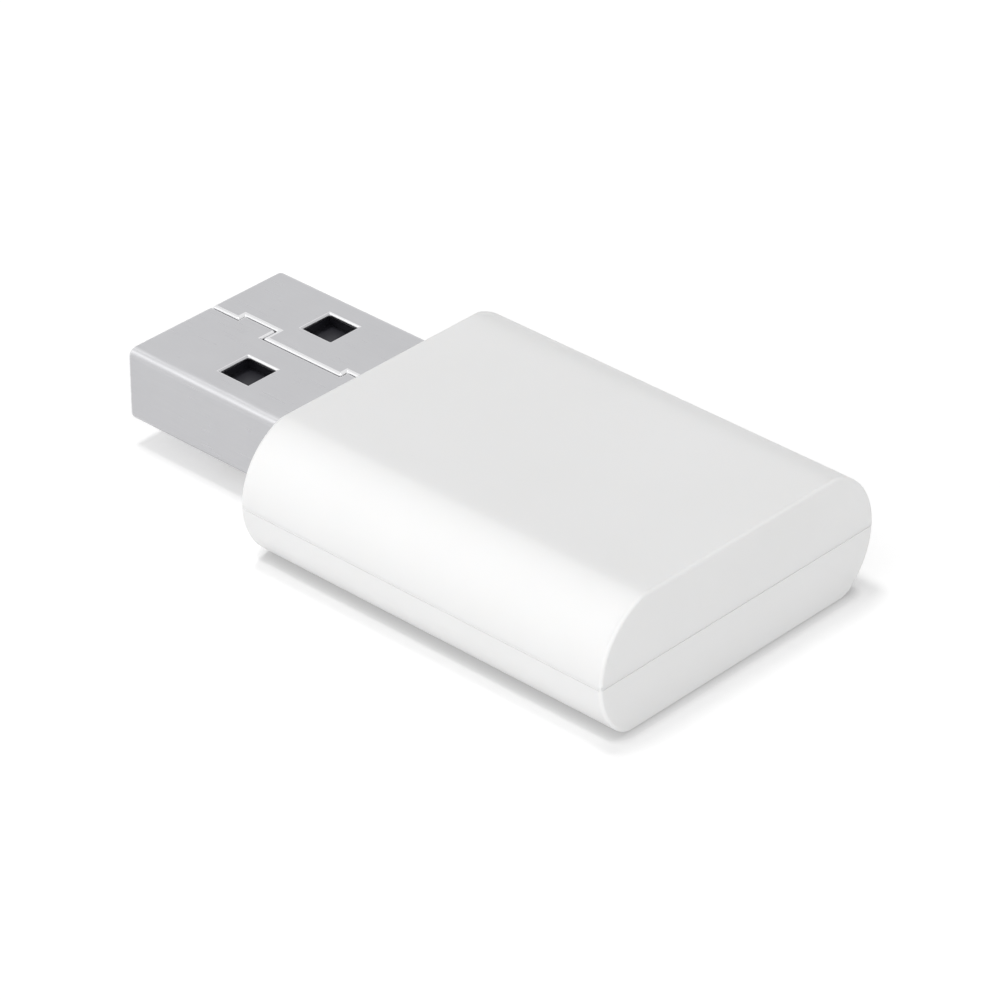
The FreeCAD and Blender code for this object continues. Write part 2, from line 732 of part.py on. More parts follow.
def make_antenna_trace():
    """A printed line that winds to and fro across the free strip of the module."""
    body = new_body("antenna_trace")
    turns = int(value("antenna_turns"))
    near = "board_back - antenna_depth + antenna_margin"
    far = "board_back - antenna_margin"
    inner_near = near + " + antenna_line"
    inner_far = far + " - antenna_line"
    pitch = "((2 * module_half - 2 * antenna_margin - antenna_line) / %d)" % (2 * turns)

    def bank(leg):
        """The two sides of one straight leg of the line."""
        low = "antenna_margin - module_half + %d * %s" % (leg, pitch)
        return low, low + " + antenna_line"

    first_bank = [(near, bank(0)[0])]
    second_bank = [(near, bank(0)[1])]
    for turn in range(turns):
        out_low, out_high = bank(2 * turn)
        back_low, back_high = bank(2 * turn + 1)
        next_low, next_high = bank(2 * turn + 2)
        first_bank += [(far, out_low), (far, back_high), (inner_near, back_high), (inner_near, next_low)]
        second_bank += [(inner_far, out_high), (inner_far, back_low), (near, back_low), (near, next_high)]
    first_bank.append((far, bank(2 * turns)[0]))
    second_bank.append((far, bank(2 * turns)[1]))
    corners = first_bank + second_bank[::-1]
    pad(body, "Trace", outline(body, "TraceRim", "XY_Plane", [corners], "module_top"), "antenna_thickness")
    return body


def make_shield_can():
    body = new_body("shield_can", up="module_top")
    rim = rectangle("can_front", "can_back", "-can_half", "can_half")
    pad(body, "Block", outline(body, "CanRim", "XY_Plane", [rim]), "can_height")
    fillet(body, "Corners", "can_rounding", lambda edge: runs_along(edge, "Z"))
    top = value("can_height")
    fillet(body, "TopEdges", "can_sheet", lambda edge: lies_in(edge, "Z", top))
    room = rectangle("can_front + can_sheet", "can_back - can_sheet",
                     "-(can_half - can_sheet)", "can_half - can_sheet")
    pocket(body, "Hollow", outline(body, "HollowRim", "XY_Plane", [room]), "can_height - can_sheet", back=True)
    vents = [("can_middle + %s" % across, side) for across in ("vent_pitch / 2", "-(vent_pitch / 2)")
             for side in ("-vent_pitch", "0", "vent_pitch")]
    sketch = circles(body, "VentCentres", "XY_Plane", vents, "vent_radius", "can_height")
    pocket(body, "Vents", sketch, "can_sheet")
    return body


def make_radio_chip():
    body = new_body("radio_chip", "case_front + can_middle", "radio_place", "module_top")
    half = "radio_side / 2"
    block = rectangle("-(%s)" % half, half, "-(%s)" % half, half)
    pad(body, "Block", outline(body, "BlockRim", "XY_Plane", [block]), "radio_height")
    corner = "(radio_side / 2 - 3 * dimple_radius)"
    sketch = circles(body, "DimpleCentre", "XY_Plane", [("-" + corner, corner)], "dimple_radius", "radio_height")
    pocket(body, "Dimple", sketch, "dimple_depth")
    return body


def make_crystal():
    body = new_body("crystal", "case_front + can_middle", "crystal_place", "module_top")
    base = rectangle("-(crystal_length / 2)", "crystal_length / 2", "-(crystal_width / 2)", "crystal_width / 2")
    pad(body, "Base", outline(body, "BaseRim", "XY_Plane", [base]), "crystal_base")
    lid = rectangle("crystal_rim - crystal_length / 2", "crystal_length / 2 - crystal_rim",
                    "crystal_rim - crystal_width / 2", "crystal_width / 2 - crystal_rim")
    pad(body, "Lid", outline(body, "LidRim", "XY_Plane", [lid], "crystal_base"), "crystal_lid")
    return body


bodies = [
    make_bottom_cover(),
    make_top_cover(),
    make_plug_shell(),
    make_plug_insulator(),
    make_contact("contact_power", "outer_contact_offset", "contact_setback"),
    make_contact("contact_data_minus", "inner_contact_offset", "contact_setback + contact_stagger"),
    make_contact("contact_data_plus", "-inner_contact_offset", "contact_setback + contact_stagger"),
    make_contact("contact_ground", "-outer_contact_offset", "contact_setback"),
    make_main_board(),
    make_chip("ferrite_bead", "front_row", "power_side"),
    make_chip("input_capacitor", "front_row", "input_side"),
    make_chip("output_capacitor", "rear_row", "-output_side"),
    make_chip("led_resistor", "rear_row", "-light_side"),
    make_status_led(),
    make_regulator_body(),
    make_regulator_lead("regulator_lead_input", "-", "lead_pitch"),
    make_regulator_lead("regulator_lead_ground", "-", "-lead_pitch"),
    make_regulator_lead("regulator_lead_output", "", "0"),
    make_module_board(),
    make_antenna_trace(),
    make_shield_can(),
    make_radio_chip(),
    make_crystal(),
]
doc.recompute()

# Nothing is written unless every object is sound
for item in doc.Objects:
    if "Invalid" in item.State or "Error" in item.State:
        raise RuntimeError("%s is in state %s" % (item.Label, item.State))
for body in bodies:
    shape = body.Shape
    if shape.isNull() or not shape.isValid() or len(shape.Solids) != 1:
        raise RuntimeError("%s has no single sound solid" % body.Label)

os.makedirs("parts", exist_ok=True)
for body in bodies:
    body.Shape.exportStep("parts/%s.step" % body.Label)
    box = body.Shape.BoundBox
    print("%-24s %8.2f mm3  x %7.2f %7.2f  y %7.2f %7.2f  z %6.2f %6.2f" % (
        body.Label, body.Shape.Volume, box.XMin, box.XMax, box.YMin, box.YMax, box.ZMin, box.ZMax))
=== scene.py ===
# %% [markdown]
# # A USB signal repeater, dressed for its photograph
#
# The repeater is a white moulded case in two halves with a stamped metal plug on one end.
# Its pieces come in from the construction model at their real size. This lesson gives each
# one a finish that holds up close to the camera, and rebuilds the plug's shell in finer mesh,
# because its edges catch the light.

# %% The frame: every construction piece in metres, where it belongs
import math

import bmesh
import bpy
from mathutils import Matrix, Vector


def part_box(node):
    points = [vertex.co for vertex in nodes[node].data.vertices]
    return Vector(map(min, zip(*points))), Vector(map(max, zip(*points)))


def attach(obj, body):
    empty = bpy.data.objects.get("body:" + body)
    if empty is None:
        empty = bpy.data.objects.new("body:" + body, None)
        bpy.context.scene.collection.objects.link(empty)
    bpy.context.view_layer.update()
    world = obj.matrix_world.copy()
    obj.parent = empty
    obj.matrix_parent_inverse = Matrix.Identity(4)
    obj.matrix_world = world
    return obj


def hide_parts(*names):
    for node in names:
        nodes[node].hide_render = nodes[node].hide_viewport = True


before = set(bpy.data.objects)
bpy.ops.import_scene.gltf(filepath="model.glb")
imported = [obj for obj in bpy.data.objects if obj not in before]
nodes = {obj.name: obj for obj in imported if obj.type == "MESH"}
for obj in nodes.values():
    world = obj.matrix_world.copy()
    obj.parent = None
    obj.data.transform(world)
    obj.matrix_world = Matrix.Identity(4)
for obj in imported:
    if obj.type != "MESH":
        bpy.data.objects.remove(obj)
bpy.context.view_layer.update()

MM = 0.001
print("construction pieces:", len(nodes))

# %% [markdown]
# ## The camera
#
# A product photograph of a thing this small is taken from some way off with a long lens, so
# its edges stay almost parallel. The lens, the distance and the viewing angle were found by
# matching the corners of the case and the plug to the photograph. A shorter lens closer by
# would frame it the same way, but it would make the near corner swell.

# %% The camera at the photograph's place
CAMERA_PLACE = Vector((161.25, -170.81, 148.62)) * MM
CAMERA_AZIMUTH = math.radians(42.878)
CAMERA_ELEVATION = math.radians(32.023)
LENS = 187.2

camera_data = bpy.data.cameras.new("camera")
camera_data.sensor_width = 36
camera_data.lens = LENS
camera_data.clip_start = 0.01
camera_data.clip_end = 20
camera = bpy.data.objects.new("camera", camera_data)
camera.location = CAMERA_PLACE
camera.rotation_euler = (math.pi / 2 - CAMERA_ELEVATION, 0, CAMERA_AZIMUTH)
bpy.context.scene.collection.objects.link(camera)
bpy.context.scene.camera = camera
bpy.context.scene.view_settings.view_transform = "Standard"
print("camera lens", LENS, "mm,", round(CAMERA_PLACE.length, 3), "m away")

# %% [markdown]
# ## The studio
#
# The photograph has a pure white ground with a narrow grey shadow tucked under the object. A
# lit floor rarely comes out at exactly white. One way is to turn the lamps up, but that
# bleaches the object. Here the floor adds a little light of its own to what the camera sees
# and nothing to what falls on the object, so the shadow stays and the ground is white. That
# light would wash out the darkest line of the shadow, where the case meets the floor, so an
# ambient occlusion node measures how closed in each spot of the floor is and dims it there.
#
# The light from all round comes from the world. It is brighter in front than behind, as near
# a window, because even light from every side would leave the far shoulder as pale as the top.

# %% Helpers for node trees


def new_nodes(owner):
    """A cleared node tree to build a material or the world in."""
    owner.use_nodes = True
    owner.node_tree.nodes.clear()
    return owner.node_tree


def add(tree, kind, **values):
    """A node of one kind, with its properties set by name."""
    node = tree.nodes.new(kind)
    for name, value in values.items():
        setattr(node, name, value)
    return node


def calculate(tree, operation, first, second):
    """One sum, product, larger or smaller of two signals."""
    node = add(tree, "ShaderNodeMath", operation=operation)
    tree.links.new(first, node.inputs[0])
    tree.links.new(second, node.inputs[1])
    return node.outputs[0]


def part_of(tree, vector, axis):
    """The X, Y or Z of a vector."""
    split = add(tree, "ShaderNodeSeparateXYZ")
    tree.links.new(vector, split.inputs[0])
    return split.outputs[axis]


def spread(tree, signal, low, high, start=0.3, end=0.7):
    """A signal between start and end turned into a value between low and high."""
    scale = add(tree, "ShaderNodeMapRange")
    for socket, number in zip(("From Min", "From Max", "To Min", "To Max"), (start, end, low, high)):
        scale.inputs[socket].default_value = number
    tree.links.new(signal, scale.inputs["Value"])
    return scale.outputs["Result"]


def grey(tree, kind, level):
    """A shader of one kind in plain grey, where nought is black and one is white."""
    shader = add(tree, kind)
    shader.inputs["Color"].default_value = (level, level, level, 1)
    return shader


def mix_shaders(tree, signal, first, second):
    """The first shader where the signal is nought, or black if there is none, else the second."""
    mix = add(tree, "ShaderNodeMixShader")
    tree.links.new(signal, mix.inputs[0])
    if first is not None:
        tree.links.new(first, mix.inputs[1])
    tree.links.new(second, mix.inputs[2])
    return mix.outputs[0]


def seen_directly(tree):
    """One where the ray comes from the camera, a mirror or a clear material, else nought."""
    path = add(tree, "ShaderNodeLightPath").outputs
    camera_or_mirror = calculate(tree, "MAXIMUM", path["Is Camera Ray"], path["Is Glossy Ray"])
    return calculate(tree, "MAXIMUM", camera_or_mirror, path["Is Transmission Ray"])


# %% The floor
FLOOR_REACH = 3.0
FLOOR_DROP = 0.02 * MM
FLOOR_ALBEDO = 0.6
FLOOR_FACE = 0.75
FLOOR_LIFT = 0.38
# Where the floor is no more than CONTACT_OPEN open, it keeps CONTACT_SHADE of its light.
CONTACT_REACH = 0.75 * MM
CONTACT_OPEN = 0.6
CONTACT_SHADE = 0.68
SHADE_SAMPLES = 4

floor_mesh = bpy.data.meshes.new("floor")
floor_shape = bmesh.new()
bmesh.ops.create_grid(floor_shape, x_segments=1, y_segments=1, size=FLOOR_REACH)
bmesh.ops.translate(floor_shape, vec=(0, 0, -FLOOR_DROP), verts=floor_shape.verts)
floor_shape.to_mesh(floor_mesh)
floor_shape.free()
floor = bpy.data.objects.new("floor", floor_mesh)
bpy.context.scene.collection.objects.link(floor)

floor_paint = bpy.data.materials.new("studio_floor")
tree = new_nodes(floor_paint)
soft = grey(tree, "ShaderNodeBsdfDiffuse", FLOOR_ALBEDO)
bright = grey(tree, "ShaderNodeBsdfDiffuse", FLOOR_FACE)
lift = add(tree, "ShaderNodeEmission")
lift.inputs["Strength"].default_value = FLOOR_LIFT
face = add(tree, "ShaderNodeAddShader")
tree.links.new(bright.outputs[0], face.inputs[0])
tree.links.new(lift.outputs[0], face.inputs[1])
crevice = add(tree, "ShaderNodeAmbientOcclusion", samples=SHADE_SAMPLES)
crevice.inputs["Distance"].default_value = CONTACT_REACH
openness = spread(tree, crevice.outputs["AO"], CONTACT_SHADE, 1, CONTACT_OPEN, 1)
shaded = mix_shaders(tree, openness, None, face.outputs[0])
output = add(tree, "ShaderNodeOutputMaterial")
tree.links.new(mix_shaders(tree, seen_directly(tree), soft.outputs[0], shaded), output.inputs[0])
floor_mesh.materials.append(floor_paint)
print("floor", 2 * FLOOR_REACH, "m across, with a lift of", FLOOR_LIFT)

# %% The light from all round
WORLD_FRONT = 0.82
WORLD_BEHIND = 0.22

world = bpy.data.worlds.new("studio")
bpy.context.scene.world = world
tree = new_nodes(world)
sky = add(tree, "ShaderNodeTexCoord")
behind = part_of(tree, sky.outputs["Generated"], "Y")
ambient = grey(tree, "ShaderNodeBackground", 1)
tree.links.new(spread(tree, behind, WORLD_FRONT, WORLD_BEHIND, -1, 1), ambient.inputs["Strength"])
white = grey(tree, "ShaderNodeBackground", 1)
output = add(tree, "ShaderNodeOutputWorld")
sight = mix_shaders(tree, seen_directly(tree), ambient.outputs[0], white.outputs[0])
tree.links.new(sight, output.inputs[0])
print("world from", WORLD_FRONT, "in front to", WORLD_BEHIND, "behind")

# %% [markdown]
# ## The lamps
#
# Two low lamps face the bowed near side and the flat end, and because they skim the floor
# they light it hardly at all. A small lamp overhead lights the top and draws the shadow that
# hugs the case where its sides overhang: a wide one would blur that shadow away. A faint lamp
# on the plug's side puts the bright line on its folded edge. The levels were found by
# rendering the scene with each lamp alone and fitting their sum to the tones of the faces.

# %% The lamps: angles in degrees, sizes in metres and power in watts
LAMPS = {
    "front": {"azimuth": 0, "elevation": 3, "distance": 1.2, "size": 0.3, "power": 6.8},
    "flat_end": {"azimuth": 90, "elevation": 3, "distance": 1.2, "size": 0.3, "power": 6.0},
    "plug_side": {"azimuth": -47, "elevation": 38, "distance": 1.2, "size": 0.6, "power": 0.6},
    "overhead": {"azimuth": -90, "elevation": 78, "distance": 1.2, "size": 0.3, "power": 4.8},
}
LOW_LAMP = 10


def direction(azimuth, elevation):
    """The direction towards a lamp: azimuth 0 stands before -Y, 90 before +X."""
    turn = math.radians(azimuth)
    rise = math.radians(elevation)
    return Vector((math.sin(turn) * math.cos(rise), -math.cos(turn) * math.cos(rise), math.sin(rise)))


for name, lamp in LAMPS.items():
    data = bpy.data.lights.new(name, "AREA")
    data.shape = "DISK"
    data.size = lamp["size"]
    data.energy = lamp["power"]
    holder = bpy.data.objects.new(name, data)
    toward = direction(lamp["azimuth"], lamp["elevation"])
    holder.location = toward * lamp["distance"]
    holder.rotation_euler = toward.to_track_quat("Z", "Y").to_euler()
    # A low lamp would glare off the top, seen from the other side.
    holder.visible_glossy = lamp["elevation"] > LOW_LAMP
    bpy.context.scene.collection.objects.link(holder)
    print(name, lamp["power"], "W")

# %% [markdown]
# ## White moulded plastic
#
# The case is white styrene plastic. A steel mould with a very fine spark texture gives it a
# soft sheen, and because a little light travels inside the plastic its edges glow slightly.
# A plain white would look like paper, so the finish gets three scales of detail: a slow
# drift of tone where the melt flowed, a patchy sheen about a millimetre across, and the
# texture of the mould in the bump.
#
# The mould's polish also eases the long shoulders a little past their rounding. A Bevel node
# gives that ease to the shading. It would round every edge, so it acts only away from the
# parting line and across the case, and the flat ends keep their crisp rims.

# %% Helpers that every finish uses
CLOUD_ROUGHNESS = 0.55


def new_finish(name, colour, roughness, metallic=0.0):
    """A material with one shader, and the tree to add detail to."""
    material = bpy.data.materials.new(name)
    tree = new_nodes(material)
    shader = add(tree, "ShaderNodeBsdfPrincipled")
    shader.inputs["Base Color"].default_value = (*colour, 1)
    shader.inputs["Roughness"].default_value = roughness
    shader.inputs["Metallic"].default_value = metallic
    output = add(tree, "ShaderNodeOutputMaterial")
    tree.links.new(shader.outputs[0], output.inputs["Surface"])
    return material, tree, shader


def object_place(tree, stretch=(1, 1, 1), centre=(0, 0, 0)):
    """Object coordinates in metres, taken from a centre and stretched along the axes."""
    place = add(tree, "ShaderNodeTexCoord")
    mapping = add(tree, "ShaderNodeMapping", vector_type="POINT")
    mapping.inputs["Location"].default_value = [-far * near for far, near in zip(centre, stretch)]
    mapping.inputs["Scale"].default_value = stretch
    tree.links.new(place.outputs["Object"], mapping.inputs["Vector"])
    return mapping.outputs["Vector"]


def cloud(tree, grain, detail=3.0, stretch=(1, 1, 1)):
    """Noise whose blotches are about one grain across, in metres."""
    noise = add(tree, "ShaderNodeTexNoise")
    noise.inputs["Scale"].default_value = 1 / grain
    noise.inputs["Detail"].default_value = detail
    noise.inputs["Roughness"].default_value = CLOUD_ROUGHNESS
    tree.links.new(object_place(tree, stretch), noise.inputs["Vector"])
    return noise.outputs["Fac"]


def vary_sheen(tree, shader, grain, low, high, detail=3.0, stretch=(1, 1, 1)):
    """Roughness that wanders between two values, in blotches of one grain."""
    blotches = cloud(tree, grain, detail, stretch)
    tree.links.new(spread(tree, blotches, low, high), shader.inputs["Roughness"])


def blend_colours(tree, signal, first, second):
    """The first colour where the signal is nought, the second where it is one. Each may be linked."""
    mix = add(tree, "ShaderNodeMix", data_type="RGBA")
    for socket, colour in (("A", first), ("B", second)):
        if isinstance(colour, tuple):
            mix.inputs[socket].default_value = (*colour, 1)
        else:
            tree.links.new(colour, mix.inputs[socket])
    tree.links.new(signal, mix.inputs["Factor"])
    return mix.outputs["Result"]


def size_of(tree, signal):
    """A signal without its sign."""
    node = add(tree, "ShaderNodeMath", operation="ABSOLUTE")
    tree.links.new(signal, node.inputs[0])
    return node.outputs[0]


def surface_normal(tree):
    """Which way the surface faces."""
    return add(tree, "ShaderNodeNewGeometry").outputs["Normal"]


def dent(tree, shader, signal, depth, strength=1.0, facing=None):
    """Raises the surface by up to the given depth, in metres, where the signal is high."""
    bump = add(tree, "ShaderNodeBump")
    bump.inputs["Strength"].default_value = strength
    bump.inputs["Distance"].default_value = depth
    tree.links.new(signal, bump.inputs["Height"])
    if facing is not None:
        tree.links.new(facing, bump.inputs["Normal"])
    tree.links.new(bump.outputs["Normal"], shader.inputs["Normal"])


def dress(finish, *names):
    """Gives a finish to construction pieces."""
    for name in names:
        for slot in nodes[name].material_slots:
            slot.material = finish


# %% The case's finish
CASE_WHITE = (0.83, 0.83, 0.83)
CASE_DRIFT = (0.815, 0.815, 0.812)

MOULD_GRAIN = 0.09 * MM
MOULD_DEPTH = 0.003 * MM

SHOULDER_REACH = 2.2 * MM
PARTING = 3.65 * MM
KEPT_CRISP = 0.8 * MM
FULLY_EASED = 2.4 * MM
END_FACE_RANGE = (0.2, 0.6)


def eased_shoulders(tree):
    """The surface's direction, eased across the long edges and left alone elsewhere."""
    plain = surface_normal(tree)
    eased = add(tree, "ShaderNodeBevel", samples=SHADE_SAMPLES)
    eased.inputs["Radius"].default_value = SHOULDER_REACH
    from_parting = size_of(tree, part_of(tree, object_place(tree, centre=(0, 0, PARTING)), "Z"))
    near_a_shoulder = spread(tree, from_parting, 0, 1, KEPT_CRISP, FULLY_EASED)
    lengthwise = size_of(tree, part_of(tree, plain, "X"))
    off_the_ends = spread(tree, lengthwise, 1, 0, *END_FACE_RANGE)
    share = calculate(tree, "MULTIPLY", near_a_shoulder, off_the_ends)
    blend = add(tree, "ShaderNodeMix", data_type="VECTOR")
    tree.links.new(share, blend.inputs["Factor"])
    tree.links.new(plain, blend.inputs["A"])
    tree.links.new(eased.outputs[0], blend.inputs["B"])
    joined = add(tree, "ShaderNodeCombineXYZ")
    tree.links.new(part_of(tree, plain, "X"), joined.inputs["X"])
    tree.links.new(part_of(tree, blend.outputs["Result"], "Y"), joined.inputs["Y"])
    tree.links.new(part_of(tree, blend.outputs["Result"], "Z"), joined.inputs["Z"])
    unit = add(tree, "ShaderNodeVectorMath", operation="NORMALIZE")
    tree.links.new(joined.outputs[0], unit.inputs[0])
    return unit.outputs[0]


case_finish, tree, shader = new_finish("moulded_white", CASE_WHITE, 0.38)
shader.inputs["Subsurface Weight"].default_value = 0.12
shader.inputs["Subsurface Radius"].default_value = (1.0, 0.9, 0.8)
shader.inputs["Subsurface Scale"].default_value = 0.6 * MM
drift = spread(tree, cloud(tree, 9 * MM), 0, 1)
tree.links.new(blend_colours(tree, drift, CASE_WHITE, CASE_DRIFT), shader.inputs["Base Color"])
vary_sheen(tree, shader, 1.2 * MM, 0.34, 0.43)
dent(tree, shader, cloud(tree, MOULD_GRAIN, detail=2.0), MOULD_DEPTH, 0.35, eased_shoulders(tree))
dress(case_finish, "top_cover", "bottom_cover")
print("case finish on", nodes["top_cover"].name, "and", nodes["bottom_cover"].name)

# %% [markdown]
# ## Stamped steel
#
# The shell of the plug is thin steel strip, rolled, punched, folded and then plated with
# nickel. Rolling leaves hair-fine lines along the strip, so the noise that drives the sheen
# is stretched into streaks. The plating is even, so the colour hardly changes on the flats.
#
# Two places are lighter, partly from wear and partly as painted highlight. The upper bends
# have rubbed against sockets and carry a painted highlight; such a bend is known by its
# direction: it faces sideways and up at once. The sheared edges and the lip of the seam were
# burnished by the tool that closed them, so they get a finish of their own, lighter partly as
# a painted highlight, with painted shade, a darker colour, on the one side of the seam that
# slopes away from the light.

# %% The shell's finish
NICKEL = (0.54, 0.54, 0.555)
NICKEL_SHADE = (0.525, 0.525, 0.54)
# Lighter nickel on the upper bends: rubbing wear and a painted highlight.
RUBBED_AND_PAINTED_HIGHLIGHT = (0.61, 0.61, 0.625)
STREAK = 0.12 * MM
ROLLING = (0.04, 1, 1)
BEND_RANGE = (0.1, 0.5)

shell_finish, tree, shader = new_finish("rolled_nickel", NICKEL, 0.32, metallic=1.0)
plain = blend_colours(tree, spread(tree, cloud(tree, 3 * MM), 0, 1), NICKEL, NICKEL_SHADE)
facing = surface_normal(tree)
sideways = size_of(tree, part_of(tree, facing, "Y"))
on_a_bend = calculate(tree, "MULTIPLY", sideways, part_of(tree, facing, "Z"))
# The upper bends take the lighter nickel: rubbing wear and a painted highlight.
bend_rub_and_painted_highlight = blend_colours(tree, spread(tree, on_a_bend, 0, 1, *BEND_RANGE), plain, RUBBED_AND_PAINTED_HIGHLIGHT)
tree.links.new(bend_rub_and_painted_highlight, shader.inputs["Base Color"])
vary_sheen(tree, shader, STREAK, 0.27, 0.40, 2.0, ROLLING)
dress(shell_finish, "plug_shell")
print("finish", shell_finish.name, "with", len(tree.nodes), "nodes")

# %% The finish of its edges, with painted highlight and painted shade
# Burnished nickel, lighter partly as a painted highlight, and a darker painted shade for the seam's side
# that slopes away from the light.
BURNISHED_AND_PAINTED_HIGHLIGHT = (0.77, 0.77, 0.78)
PAINTED_SHADE = (0.42, 0.42, 0.435)
SEAM_MIDDLE = 0.35 * MM
SEAM_BAND = (0.75 * MM, 0.85 * MM)
CROSS_CUT_RANGE = (0.15, 0.35)
AWAY_RANGE = (0.1, 0.4)

edge_finish_with_painted_light, tree, shader = new_finish("burnished_edge_with_painted_light", BURNISHED_AND_PAINTED_HIGHLIGHT, 0.3, metallic=1.0)
facing = surface_normal(tree)
lengthwise = spread(tree, size_of(tree, part_of(tree, facing, "X")), 1, 0, *CROSS_CUT_RANGE)
from_seam = object_place(tree, centre=(0, SEAM_MIDDLE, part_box("plug_shell")[1].z))
aside, below = [size_of(tree, part_of(tree, from_seam, axis)) for axis in "YZ"]
by_the_seam = spread(tree, calculate(tree, "MAXIMUM", aside, below), 1, 0, *SEAM_BAND)
# Lighter burnish on the cross-cut edges and by the seam: partly a painted highlight.
bright = blend_colours(tree, calculate(tree, "MAXIMUM", lengthwise, by_the_seam), NICKEL, BURNISHED_AND_PAINTED_HIGHLIGHT)
facing_away = spread(tree, part_of(tree, facing, "Y"), 0, 1, *AWAY_RANGE)
# Painted shade: darker where the seam's edge faces away from the light.
burnish_with_painted_light_and_shade = blend_colours(tree, calculate(tree, "MULTIPLY", facing_away, by_the_seam), bright, PAINTED_SHADE)
tree.links.new(burnish_with_painted_light_and_shade, shader.inputs["Base Color"])
vary_sheen(tree, shader, STREAK, 0.25, 0.36, 4.0, ROLLING)
print("finish", edge_finish_with_painted_light.name, "with", len(tree.nodes), "nodes")

# %% [markdown]
# ## The plug's shell, folded from a flat strip
#
# The real shell starts as a flat strip. A press punches its windows and trims its two long
# edges to matching steps, and then it is folded round until those edges meet in a seam that
# locks. A box with holes cut in it would show perfectly sharp corners, and a sheared edge
# is never sharp. So the mesh is made as the shell is: a flat grid is cut, punched and
# trimmed, each of its corners is carried to its place round the fold, and then the sheet
# gets its thickness and softened edges. The patches that border the seam are given the
# burnished finish, partly a painted highlight, while the strip is still flat, when they are
# easy to pick out. Two small feet, to be soldered to the board, are bent out of the side
# walls after the fold.

# %% Sizes of the shell
shell_low, shell_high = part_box("plug_shell")
BOARD_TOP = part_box("main_board")[1].z
TIP = shell_low.x
REAR = shell_high.x
PLUG_TOP = shell_high.z
PLUG_HEIGHT = shell_high.z - shell_low.z
PLUG_HALF = 6.0 * MM
SHEET = 0.3 * MM
BEND = 0.55 * MM
BEND_STEPS = 8
EDGE_SOFTENING = 0.14 * MM
WINDOW_MIDDLE = TIP + 6.4 * MM
WINDOW_LENGTH = 2.15 * MM
WINDOW_WIDTH = 2.15 * MM
WINDOW_OFFSET = 3.15 * MM
SEAM_GAP = 0.05 * MM
SEAM_LIP = 0.26 * MM
SEAM_STEPS = [TIP + 2.1 * MM, TIP + 4.5 * MM, TIP + 10.45 * MM]
SEAM_LEVELS = [0.35 * MM, 0.9 * MM, -0.2 * MM, 0.35 * MM]
FOOT_REACH = shell_high.y - PLUG_HALF
FOOT_START = REAR - 2.9 * MM
FOOT_END = REAR - 0.9 * MM
TOUCHING = 1e-7
ON_THE_PLANE = 1e-8
FLAT_ANGLE = math.radians(1)
SHARP_ANGLE = math.radians(40)

half_top = PLUG_HALF - BEND
wall = PLUG_HEIGHT - 2 * BEND
quarter = BEND * math.pi / 2
STRETCHES = [(half_top, False), (quarter, True), (wall, False), (quarter, True), (2 * half_top, False),
             (quarter, True), (wall, False), (quarter, True), (half_top, False)]
girth = sum(length for length, bends in STRETCHES)
print("strip", round(girth / MM, 2), "mm round and", round((REAR - TIP) / MM, 2), "mm long")

# %% The flat strip, punched and trimmed


def fold_place(round_way):
    """The side and height of a point this far round the section from the top's middle."""
    side, height, heading = 0.0, PLUG_TOP, 0.0
    for place, (length, bends) in enumerate(STRETCHES):
        last = place == len(STRETCHES) - 1
        step = round_way if last or round_way <= length else length
        if bends:
            turn = step / BEND
            side += BEND * (math.sin(heading + turn) - math.sin(heading))
            height += BEND * (math.cos(heading + turn) - math.cos(heading))
            heading += turn
        else:
            side += step * math.cos(heading)
            height -= step * math.sin(heading)
        round_way -= step
        if step != length:
            break
    return side, height


def seam_level(along):
    """How far the seam lies from the shell's middle line at this distance along it."""
    return SEAM_LEVELS[sum(along > step for step in SEAM_STEPS)]


def wall_way(height):
    """The way round the section to this height on the +Y side wall."""
    return half_top + quarter + PLUG_TOP - BEND - height


half_gap = SEAM_GAP / 2
windows = [(middle - WINDOW_WIDTH / 2, middle + WINDOW_WIDTH / 2) for middle in
           (WINDOW_OFFSET, girth - WINDOW_OFFSET, girth / 2 - WINDOW_OFFSET, girth / 2 + WINDOW_OFFSET)]
foot_top = wall_way(BOARD_TOP + SHEET + FOOT_REACH)
foot_root = wall_way(BOARD_TOP)
foot_windows = [(foot_top, foot_root), (girth - foot_root, girth - foot_top)]
window_ends = (WINDOW_MIDDLE - WINDOW_LENGTH / 2, WINDOW_MIDDLE + WINDOW_LENGTH / 2)

lengthwise = [level + half_gap for level in SEAM_LEVELS]
lengthwise += [girth + level - half_gap for level in SEAM_LEVELS]
lengthwise += [level + half_gap + SEAM_LIP for level in SEAM_LEVELS]
lengthwise += [edge for window in windows + foot_windows for edge in window]
way = 0.0
for length, bends in STRETCHES:
    if bends:
        lengthwise += [way + length * step / BEND_STEPS for step in range(BEND_STEPS + 1)]
    way += length
crosswise = [*window_ends, FOOT_START, FOOT_END]
crosswise += [step + shift for step in SEAM_STEPS for shift in (-half_gap, half_gap)]
crosswise += [step + shift for step in SEAM_STEPS for shift in (-half_gap - SEAM_LIP, half_gap + SEAM_LIP)]

TRIMMING = 1.5 * MM
strip = bmesh.new()
# A grid of size 0.5 is one metre across, so the scale is its length and its width.
bmesh.ops.create_grid(strip, x_segments=1, y_segments=1, size=0.5)
bmesh.ops.scale(strip, vec=(REAR - TIP, girth + 2 * TRIMMING, 1), verts=strip.verts)
bmesh.ops.translate(strip, vec=((TIP + REAR) / 2, girth / 2, 0), verts=strip.verts)


def cut(shape, place, normal):
    """Divides every patch that a plane passes through."""
    everything = list(shape.verts) + list(shape.edges) + list(shape.faces)
    bmesh.ops.bisect_plane(shape, geom=everything, dist=ON_THE_PLANE, plane_co=place, plane_no=normal)


for level in lengthwise:
    cut(strip, (0, level, 0), (0, 1, 0))
for level in crosswise:
    cut(strip, (level, 0, 0), (1, 0, 0))


